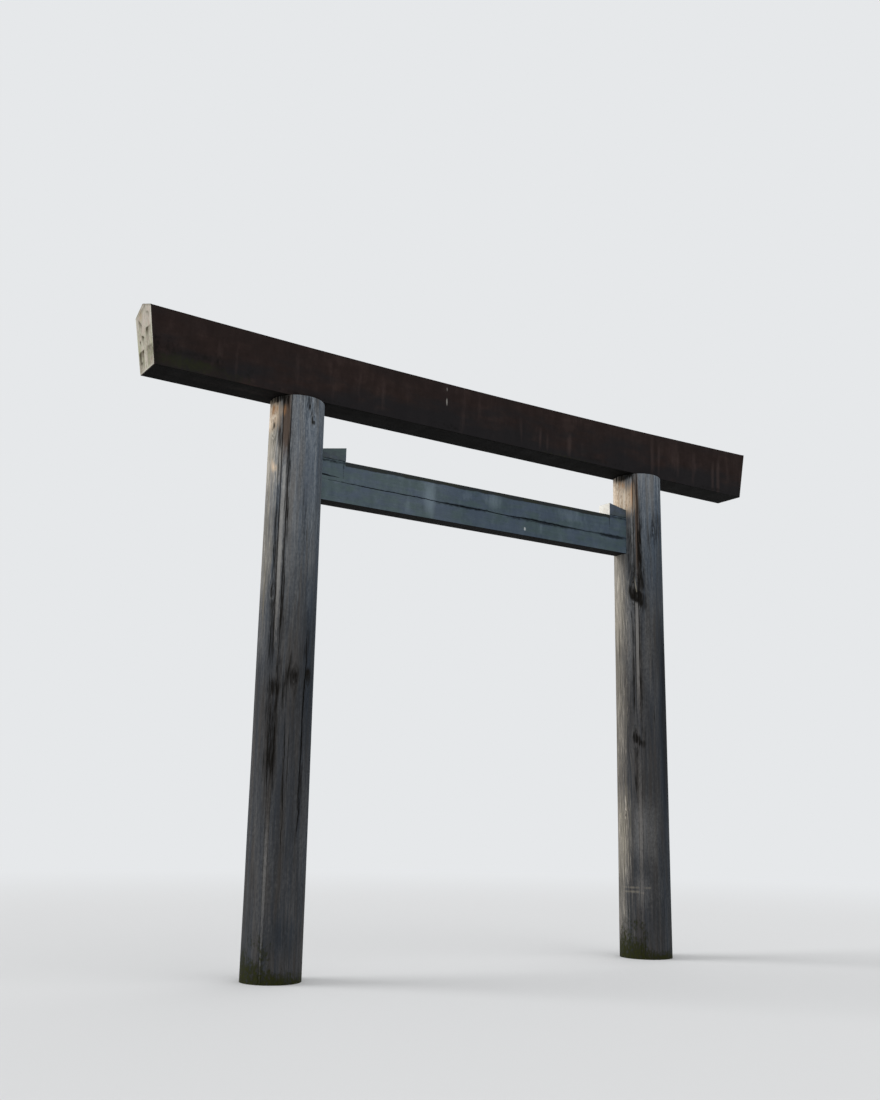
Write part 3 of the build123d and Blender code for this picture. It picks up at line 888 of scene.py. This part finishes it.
# seam: height and strength of the dark band of painted shade where a wedge sits on the beam. buttMarks:
# length, height and seed of the pale marks on the butts, where they start and their strength. grainFrom:
# where in the beam's pattern the wedges' own begins
wedge = {
    "rows": 34, "counts": (14, 10, 14, 10), "endRings": 8, "soft": 4 * mm,
    "waves": [(0.6 * mm, 0.2, 30 * mm, 5)], "seam": (16 * mm, 0.8),
    "buttMarks": (60 * mm, 90 * mm, 31, 0.2, 0.5), "buttReach": 10 * mm, "grainFrom": (3, 1, 2)}


# A wedge: the beam's width, its top falling evenly from the butt to the tip
def makeWedge(node, low, high, buttX):
    slope = tan(radians(joinery["wedgeSlope"]))

    def xAt(share, z):
        return low.x + share * (high.x - low.x)

    def cornersAt(share):
        top = high.z - slope * np.abs(buttX - xAt(share, 0))
        return rectangle(-beamHalf, beamHalf, low.z, top)

    shares = np.linspace(0, 1, wedge["rows"])
    piece = carriedSection(node + "_block", xAt, cornersAt, shares, wedge)
    roughen(piece, lambda points: planedRelief(points, wedge["waves"]))
    points = readPoints(piece)
    x, y, z = points.T
    onButt = np.abs(x - buttX) < wedge["buttReach"]
    tall, dark = wedge["seam"]
    markWide, markTall, seed, start, pale = wedge["buttMarks"]
    # a dark band along the wedge's foot: painted shade where it sits on the beam
    masks = {"stainAndShade": dark * (1 - smoothStep(z, low.z, low.z + tall)) * ~onButt,
             "pale": pale * onButt * (softNoise(y, z, markWide, markTall, seed) > start)}
    paint(piece, masks, points + wedge["grainFrom"])
    finishPiece(piece, node, wedgeTimber, sunlitButtGrain)


makeWedge("left_wedge", leftWedgeLow, leftWedgeHigh, leftWedgeHigh.x)
makeWedge("right_wedge", rightWedgeLow, rightWedgeHigh, rightWedgeLow.x)

print("stage: top lintel")

# Soft spots as on the beam, all on the front. dapple: dark patches on an end, painted dappled shade,
# each dented a little below a slanted edge: y and height of the edge's middle, half width, slant, how
# far it fades downwards, strength. topLine: the dark arris under the ridge, and its strength.
# lower: heights where the face is lit and where its painted shade is full; lowerShare: its share on
# the left, what comes on to the right, and between which x. below: heights where the underside's
# painted shade ends. undersideMoss: from x to x, how soft, how strong. endReach: what counts as an end
# face. endRim, endWarm, endUpper and endPale are marks on the ends.
lintel = {
    "bottomHalf": 4.670, "bottomWidth": 455 * mm, "sideMiddle": 633 * mm, "sideEnd": 689 * mm,
    "ridgeRise": 91 * mm, "endSlant": 8.3, "sideLean": 2.3,
    "rowStep": 19 * mm, "counts": (22, 34, 12, 12, 34), "endRings": 30, "soft": 9 * mm,
    "waves": [(2.0 * mm, 0.9, 0.2, 7), (0.6 * mm, 0.6, 20 * mm, 8)], "dappleDepth": 4 * mm,
    "topLine": (26 * mm, 0.9), "lower": (0.62, 0.0), "lowerShare": (0.55, 0.45, -0.5, 1.8),
    "below": (1 * mm, 9 * mm), "endReach": 12 * mm, "endRim": (26 * mm, 0.5),
    "endWarm": (-0.09, 0.66, 0.06, 0.07), "endUpper": (0.4, 0.56), "endPale": (0.2, 0.235, 0.05, 0.7),
    "moss": [(-1.5, 6.75, 0.4, 0.085, 0.9), (-0.95, 6.72, 0.3, 0.05, 0.5), (4.0, 6.67, 0.55, 0.03, 0.5)],
    "stainAndShade": [
        (-1.93, 6.82, 0.12, 0.2, 0.85), (-1.72, 6.88, 0.12, 0.14, 0.5), (-1.4, 6.85, 0.25, 0.08, 0.45),
        (-1.13, 6.83, 0.07, 0.12, 0.55), (-0.75, 6.78, 0.05, 0.09, 0.4), (0.1, 6.7, 0.5, 0.025, 0.5),
        (2.1, 6.72, 0.3, 0.04, 0.45), (4.7, 6.72, 0.4, 0.04, 0.4), (6.9, 6.7, 0.5, 0.03, 0.5)],
    "pale": [
        (-1.12, 6.95, 0.04, 0.2, 0.35), (-0.92, 6.9, 0.03, 0.15, 0.35), (-0.14, 6.95, 0.04, 0.25, 0.35),
        (0.34, 6.9, 0.04, 0.15, 0.35), (0.72, 6.95, 0.03, 0.2, 0.35), (1.07, 6.9, 0.03, 0.2, 0.4),
        (2.28, 6.95, 0.08, 0.3, 0.35), (2.55, 7.05, 0.05, 0.2, 0.35), (3.23, 6.9, 0.03, 0.2, 0.4),
        (3.56, 6.85, 0.025, 0.15, 0.8), (3.68, 6.83, 0.02, 0.13, 0.8), (4.06, 6.86, 0.04, 0.16, 0.7),
        (5.62, 7.0, 0.035, 0.3, 0.85), (5.75, 6.98, 0.03, 0.28, 0.8), (6.06, 7.05, 0.05, 0.2, 0.6),
        (6.14, 6.95, 0.03, 0.2, 0.6), (6.46, 6.95, 0.05, 0.28, 0.6), (6.86, 6.9, 0.03, 0.25, 0.8),
        (6.97, 6.9, 0.035, 0.28, 0.9), (7.2, 7.0, 0.05, 0.2, 0.4), (7.46, 7.0, 0.04, 0.2, 0.4)],
    "chalk": [(2.011, 7.215, 0.006, 0.03, 0.5), (2.011, 7.04, 0.007, 0.055, 0.85)],
    "undersideMoss": (3.2, 4.6, 0.3, 0.45), "dappleEdge": (-4 * mm, 8 * mm),
    "dapple": [
        (-0.12, 0.475, 0.09, 0.08, 0.04, 0.6), (-0.09, 0.475, 0.05, 0.1, 0.1, 1.0),
        (0.055, 0.415, 0.045, 0.5, 0.055, 1.0), (0.143, 0.385, 0.024, 0.0, 0.05, 0.9),
        (-0.13, 0.255, 0.1, 0.1, 0.2, 0.6), (-0.22, 0.2, 0.02, 0.0, 0.06, 0.9),
        (0.13, 0.258, 0.09, 0.03, 0.06, 0.8), (0.08, 0.255, 0.037, 0.0, 0.11, 0.95),
        (0.172, 0.245, 0.037, 0.0, 0.16, 1.1), (0.145, 0.13, 0.045, 0.1, 0.06, 0.85),
        (0.115, 0.595, 0.055, 0.9, 0.06, 0.8), (-0.14, 0.645, 0.05, 0.5, 0.04, 0.6),
        (0.02, 0.725, 0.14, -0.25, 0.03, 0.6)]}
endTangent = tan(radians(lintel["endSlant"]))


# x = middle + (2 share - 1) (half length + z tan(slant)) cuts the ends to a slant
def lintelX(share, z):
    return lintelMiddle + (2 * share - 1) * (lintel["bottomHalf"] + endTangent * (z - underside))


# Sides and ridge rise with the square of the distance from the middle, and the sides lean out evenly
def lintelCorners(share):
    rise = lintel["sideMiddle"] + (lintel["sideEnd"] - lintel["sideMiddle"]) * (2 * share - 1) ** 2
    half = lintel["bottomWidth"] / 2
    wide = half + tan(radians(lintel["sideLean"])) * rise
    shoulder = underside + rise
    return [(-half, underside), (half, underside), (wide, shoulder), (0, shoulder + lintel["ridgeRise"]),
            (-wide, shoulder)]


# Height of the sides' top edge above the underside
def topOf(x):
    away = (x - lintelMiddle) / lintel["bottomHalf"]
    return lintel["sideMiddle"] + (lintel["sideEnd"] - lintel["sideMiddle"]) * away ** 2


# Dark dented patches on an end, painted dappled shade: full just below a slanted edge, fading
# downwards, soft at the sides
def dappleAt(y, z):
    total = 0 * y
    for y0, z0, halfWide, slant, fade, strength in lintel["dapple"]:
        drop = z0 + slant * (y - y0) - z
        cut = smoothStep(drop, *lintel["dappleEdge"]) * np.exp(-np.maximum(drop, 0) / fade)
        total = np.maximum(total, strength * cut * bell(y - y0, halfWide, 4))
    return total


# Within "endReach" of an end face: -1 at the left end, 1 at the right end, 0 elsewhere
def lintelEnd(x, z):
    reach = lintel["bottomHalf"] + endTangent * (z - underside)
    away = x - lintelMiddle
    return np.sign(away) * (np.abs(away) > reach - lintel["endReach"])


# Slow and fine relief, and the dents of the dappled patches on the ends, mirrored on the right one
def lintelRelief(points):
    x, y, z = points.T
    end = lintelEnd(x, z)
    dip = lintel["dappleDepth"] * dappleAt(-end * y, z - underside)
    return np.where(end != 0, -dip, planedRelief(points, lintel["waves"]))


def paintLintel(piece):
    points = readPoints(piece)
    x, y, z = points.T
    rise, top, end = z - underside, topOf(x), lintelEnd(x, z)
    onFace = end == 0
    onFront = onFace & (y < -0.2)
    kinds = ("moss", "stainAndShade", "pale", "chalk")
    masks = {key: onFront * spotsAt(lambda x0: x - x0, z, lintel[key]) for key in kinds}
    # a dark band along the front's top arris, under the ridge
    line, strength = lintel["topLine"]
    topLine = strength * onFront * smoothStep(rise, top - line, top)
    masks["stainAndShade"] = np.maximum(masks["stainAndShade"], topLine)
    # the lower half is darker, more so to the right: painted shade
    share, more, start, stop = lintel["lowerShare"]
    share = share + more * smoothStep(x, start, stop)
    masks["lower"] = onFace * smoothStep(rise, *lintel["lower"]) * share
    # the underside near black: painted shade
    masks["below"] = onFace * (1 - smoothStep(rise, *lintel["below"]))
    start, stop, fade, strength = lintel["undersideMoss"]
    reach = smoothStep(x, start, start + fade) * smoothStep(x, stop, stop - fade)
    masks["moss"] = np.maximum(masks["moss"], strength * reach * masks["below"])
    # the ends: the dented patches, painted dappled shade, and a grey rim below the two upper edges
    shoulderY = lintel["bottomWidth"] / 2 + tan(radians(lintel["sideLean"])) * top
    below = top + lintel["ridgeRise"] * (1 - np.abs(y) / shoulderY) - rise
    rim, strength = lintel["endRim"]
    dark = np.maximum(dappleAt(-end * y, rise), strength * bell(below, rim))
    masks["stainAndShade"] = np.where(onFace, masks["stainAndShade"], dark)
    y0, z0, halfWide, halfHigh = lintel["endWarm"]
    masks["warm"] = ~onFace * bell(-end * y + y0, halfWide) * bell(rise - z0, halfHigh)
    masks["upper"] = ~onFace * smoothStep(rise, *lintel["endUpper"])
    inside, edge, low, strength = lintel["endPale"]
    rimPale = np.maximum(smoothStep(np.abs(y), inside, edge), smoothStep(rise, low, 0.0))
    masks["pale"] = np.where(onFace, masks["pale"], strength * rimPale)
    paint(piece, masks, points)


lintelShares = np.linspace(0, 1, round((lintelHigh.x - lintelLow.x) / lintel["rowStep"]))
lintelPiece = carriedSection("top_lintel_timber", lintelX, lintelCorners, lintelShares, lintel)
roughen(lintelPiece, lintelRelief)
mortises = []
halfX = joinery["tenonLength"] / 2 + joinery["sideClearance"]
halfY = joinery["tenonWidth"] / 2 + joinery["sideClearance"]
bottom, top = underside - joinery["cutterReach"], leftHigh.z + joinery["tenonTopClearance"]
for axis in (leftAxis, rightAxis):
    outline = rectangle(axis - halfX, axis + halfX, -halfY, halfY)
    mortises.append(prism([(x, y, bottom) for x, y in outline], [(x, y, top) for x, y in outline]))
cutAway(lintelPiece, mortises)
paintLintel(lintelPiece)
finishPiece(lintelPiece, "top_lintel", lintelTimber, endGrain)

print("stage: floor, light and camera")

# Turns are degrees from the front, positive to the right; heights are degrees up
studio = {
    "floorSize": 120.0, "floorTone": "#cfd0d1", "backTone": "#e6e8ea", "fadeFrom": 9.0, "fadeTo": 26.0,
    "skyStrength": 0.65,
    "lamps": {"key_lamp": (1.8, -120, 30, 35), "front_lamp": (0.6, 25, 45, 60),
              "right_lamp": (0.5, 120, 35, 60)}}


# Background rays are those that meet the camera, gloss or glass
def backgroundRays(tree):
    rays = addNode(tree, "LightPath", {}, "Is Camera Ray").node
    total = rays.outputs["Is Camera Ray"]
    for key in ("Is Glossy Ray", "Is Transmission Ray"):
        total = addNode(tree, "Math", {0: total, 1: rays.outputs[key]}, operation="MAXIMUM")
    return total


# Floor: a flat grid whose colour fades into the background's with distance from the gate
def makeFloor():
    size, middle = studio["floorSize"], (leftAxis + rightAxis) / 2
    steps = np.linspace(-size, size, 9)
    x, y = np.meshgrid(steps + middle, steps)
    here = np.arange(steps.size ** 2).reshape(steps.size, -1)
    quads = np.stack([here[:-1, :-1], here[:-1, 1:], here[1:, 1:], here[1:, :-1]], axis=-1)
    mesh = bpy.data.meshes.new("studio_floor")
    points = np.stack([x, y, 0 * x], axis=-1)
    mesh.from_pydata(points.reshape(-1, 3).tolist(), [], quads.reshape(-1, 4).tolist())
    floor = addObject("studio_floor", mesh)
    material = bpy.data.materials.new("matt_studio_floor")
    tree = emptyTree(material)
    place = addNode(tree, "TexCoord", {}, "Object")
    fromMiddle = addNode(tree, "VectorMath", {0: place, 1: (middle, 0, 0)}, operation="SUBTRACT")
    far = addNode(tree, "VectorMath", {0: fromMiddle}, "Value", operation="LENGTH")
    fade = addNode(tree, "MapRange", {"Value": far, "From Min": studio["fadeFrom"],
                                      "From Max": studio["fadeTo"]}, interpolation_type="SMOOTHSTEP")
    share = addNode(tree, "Math", {0: fade, 1: backgroundRays(tree)}, operation="MULTIPLY")
    matt = addNode(tree, "BsdfDiffuse", {"Color": linear(studio["floorTone"])})
    glow = addNode(tree, "Emission", {"Color": linear(studio["backTone"])})
    mixed = addNode(tree, "MixShader", {0: share, 1: matt, 2: glow})
    addNode(tree, "OutputMaterial", {"Surface": mixed})
    mesh.materials.append(material)


def makeWorld():
    world = bpy.data.worlds.new("pale_studio")
    bpy.context.scene.world = world
    tree = emptyTree(world)
    lit = addNode(tree, "Background", {"Color": linear("#ffffff"), "Strength": studio["skyStrength"]})
    shown = addNode(tree, "Background", {"Color": linear(studio["backTone"]), "Strength": 1.0})
    mixed = addNode(tree, "MixShader", {0: backgroundRays(tree), 1: lit, 2: shown})
    addNode(tree, "OutputWorld", {"Surface": mixed})


# A far soft lamp; softness is the width of its disc in degrees
def makeLamp(name, strength, turn, height, softness):
    lamp = bpy.data.lights.new(name, "SUN")
    lamp.energy = strength
    lamp.angle = radians(softness)
    holder = addObject(name, lamp)
    a, h = radians(turn), radians(height)
    towards = Vector((sin(a) * cos(h), -cos(a) * cos(h), sin(h)))
    holder.rotation_euler = towards.to_track_quat("Z", "Y").to_euler()


makeFloor()
makeWorld()
for name, settings in studio["lamps"].items():
    makeLamp(name, *settings)

# Camera, solved from the photograph's edges. Turn is degrees from +Y towards +X, tilt is upwards, roll
# is about the view, and the lens is for a 36 mm long side.
view = {"place": (-5.855, -12.277, 1.792), "turn": 32.96, "tilt": 12.835, "roll": 1.043, "lens": 38.22}


def makeCamera():
    camera = bpy.data.cameras.new("photo_view")
    camera.sensor_width = 36
    camera.lens = view["lens"]
    camera.clip_end = 400
    holder = addObject("photo_view", camera)
    turn, tilt, roll = (radians(view[key]) for key in ("turn", "tilt", "roll"))
    ahead = Vector((sin(turn) * cos(tilt), cos(turn) * cos(tilt), sin(tilt)))
    level = Vector((cos(turn), -sin(turn), 0))
    upright = level.cross(ahead)
    right = level * cos(roll) + upright * sin(roll)
    up = upright * cos(roll) - level * sin(roll)
    axes = Matrix((right, up, -ahead)).transposed().to_4x4()
    holder.matrix_world = Matrix.Translation(view["place"]) @ axes
    bpy.context.scene.camera = holder


makeCamera()
bpy.context.scene.view_settings.view_transform = "Standard"
